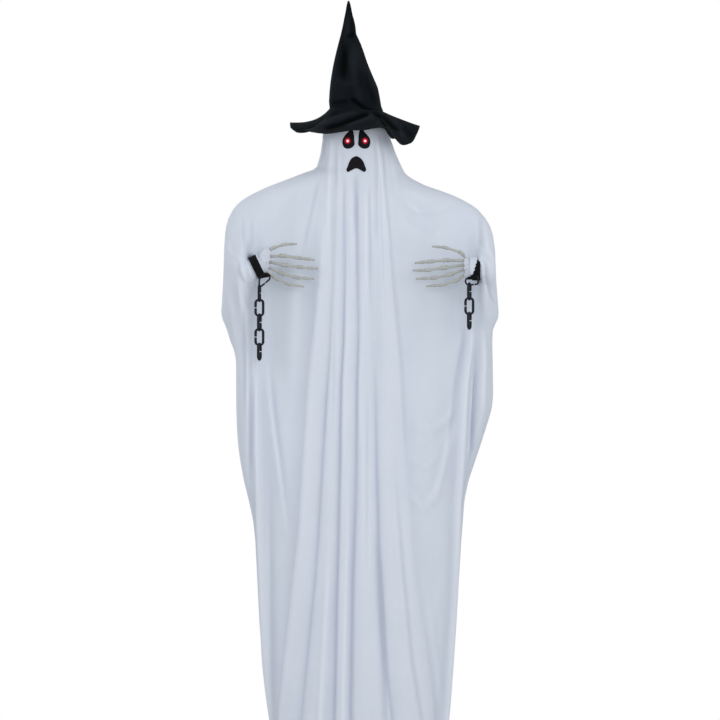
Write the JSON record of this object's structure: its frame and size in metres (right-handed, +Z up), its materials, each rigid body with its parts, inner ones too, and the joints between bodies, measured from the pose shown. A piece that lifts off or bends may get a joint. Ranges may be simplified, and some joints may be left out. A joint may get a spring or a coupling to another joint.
{
  "type": "light-up ghost figure",
  "caption": "Life-size ghost figure in a white robe and pointed black hat, with glowing red eyes, skeleton hands and short chains hanging from wrist straps, on a tube stand.",
  "frame": {"origin": "on the floor under the stand pole, at the centre of the base", "axes": "+Z up the pole; the face and hands look towards -Y; +X is the side of the right-hand chain as seen from the front"},
  "size_m": [0.658, 0.3702, 1.8299],
  "materials": {
    "stand_plastic": "matt moulded",
    "black_steel": "black powder coat",
    "foot_rubber": "matt",
    "pad_foam": "plain foam",
    "head_plastic": "satin moulded",
    "led_lens": "clear moulded",
    "eye_wire": "soft insulation",
    "case_plastic": "fine texture",
    "battery_jacket": "printed sleeve",
    "contact_plate": "plated",
    "knob_plastic": "satin",
    "bone_plastic": "satin moulded bone",
    "robe_cloth": "thin woven polyester",
    "strap_webbing": "woven webbing",
    "chain_plastic": "satin moulded",
    "face_felt": "felt",
    "hat_cloth": "brushed polyester"
  },
  "bodies": {
    "figure": {"base_hub": "stand_plastic", "shoulder_tee": "stand_plastic", "left_shoulder_connector": "stand_plastic", "right_shoulder_connector": "stand_plastic", "neck_plug": "stand_plastic", "left_led_holder": "stand_plastic", "right_led_holder": "stand_plastic", "base_leg_1": "black_steel", "base_leg_2": "black_steel", "base_leg_3": "black_steel", "base_leg_4": "black_steel", "lower_pole": "black_steel", "middle_pole": "black_steel", "upper_pole": "black_steel", "shoulder_bar": "black_steel", "neck_tube": "black_steel", "left_arm_rod": "black_steel", "right_arm_rod": "black_steel", "foot_cap_1": "foot_rubber", "foot_cap_2": "foot_rubber", "foot_cap_3": "foot_rubber", "foot_cap_4": "foot_rubber", "left_shoulder_pad": "pad_foam", "right_shoulder_pad": "pad_foam", "head_shell": "head_plastic", "left_led": "led_lens", "right_led": "led_lens", "left_eye_wire": "eye_wire", "right_eye_wire": "eye_wire", "battery_case": "case_plastic", "battery_1": "battery_jacket", "battery_2": "battery_jacket", "lower_contact": "contact_plate", "upper_contact": "contact_plate", "robe_front": "robe_cloth", "robe_back": "robe_cloth", "left_sleeve": "robe_cloth", "right_sleeve": "robe_cloth", "left_strap": "strap_webbing", "right_strap": "strap_webbing", "left_link_1": "chain_plastic", "right_link_1": "chain_plastic", "left_eye_patch": "face_felt", "right_eye_patch": "face_felt", "mouth_patch": "face_felt"},
    "hat": {"hat_cone": "hat_cloth", "hat_brim": "hat_cloth"},
    "left_hand": {"left_hand": "bone_plastic"},
    "right_hand": {"right_hand": "bone_plastic"},
    "battery_door": {"battery_door": "case_plastic"},
    "switch_knob": {"switch_knob": "knob_plastic"},
    "left_link_2": {"left_link_2": "chain_plastic"},
    "left_link_3": {"left_link_3": "chain_plastic"},
    "left_link_4": {"left_link_4": "chain_plastic"},
    "left_link_5": {"left_link_5": "chain_plastic"},
    "left_link_6": {"left_link_6": "chain_plastic"},
    "right_link_2": {"right_link_2": "chain_plastic"},
    "right_link_3": {"right_link_3": "chain_plastic"},
    "right_link_4": {"right_link_4": "chain_plastic"}
  },
  "joints": [
    {"name": "hat_lift", "type": "slide", "parent": "figure", "child": "hat", "axis": [0, 0, 1], "range_m": [0, 0.2]},
    {"name": "left_hand_swivel", "type": "hinge", "parent": "figure", "child": "left_hand", "pos_m": [-0.239, -0.15, 1.201], "axis": [0.8988, 0, 0.4384], "range_deg": [-15, 20]},
    {"name": "right_hand_swivel", "type": "hinge", "parent": "figure", "child": "right_hand", "pos_m": [0.276, -0.15, 1.195], "axis": [-1, 0, 0], "range_deg": [-20, 25]},
    {"name": "battery_door_slide", "type": "slide", "parent": "figure", "child": "battery_door", "axis": [0, 0, -1], "range_m": [0, 0.058]},
    {"name": "switch_knob_slide", "type": "slide", "parent": "figure", "child": "switch_knob", "axis": [1, 0, 0], "range_m": [0, 0.003]},
    {"name": "left_link_2_swing", "type": "hinge", "parent": "figure", "child": "left_link_2", "pos_m": [-0.23232, -0.163, 1.15789], "axis": [0, 1, 0], "range_deg": [-30, 30]},
    {"name": "left_link_3_swing", "type": "hinge", "parent": "left_link_2", "child": "left_link_3", "pos_m": [-0.23232, -0.163, 1.12359], "axis": [-1, 0, 0], "range_deg": [-6, 45]},
    {"name": "left_link_4_swing", "type": "hinge", "parent": "left_link_3", "child": "left_link_4", "pos_m": [-0.23232, -0.163, 1.08929], "axis": [0, 1, 0], "range_deg": [-30, 30]},
    {"name": "left_link_5_swing", "type": "hinge", "parent": "left_link_4", "child": "left_link_5", "pos_m": [-0.23232, -0.163, 1.05499], "axis": [-1, 0, 0], "range_deg": [-6, 45]},
    {"name": "left_link_6_swing", "type": "hinge", "parent": "left_link_5", "child": "left_link_6", "pos_m": [-0.23232, -0.163, 1.02069], "axis": [0, 1, 0], "range_deg": [-30, 30]},
    {"name": "right_link_2_swing", "type": "hinge", "parent": "figure", "child": "right_link_2", "pos_m": [0.25966, -0.172, 1.1618], "axis": [0, 1, 0], "range_deg": [-30, 30]},
    {"name": "right_link_3_swing", "type": "hinge", "parent": "right_link_2", "child": "right_link_3", "pos_m": [0.25966, -0.172, 1.1275], "axis": [-1, 0, 0], "range_deg": [-6, 45]},
    {"name": "right_link_4_swing", "type": "hinge", "parent": "right_link_3", "child": "right_link_4", "pos_m": [0.25966, -0.172, 1.0932], "axis": [0, 1, 0], "range_deg": [-30, 30]}
  ]
}
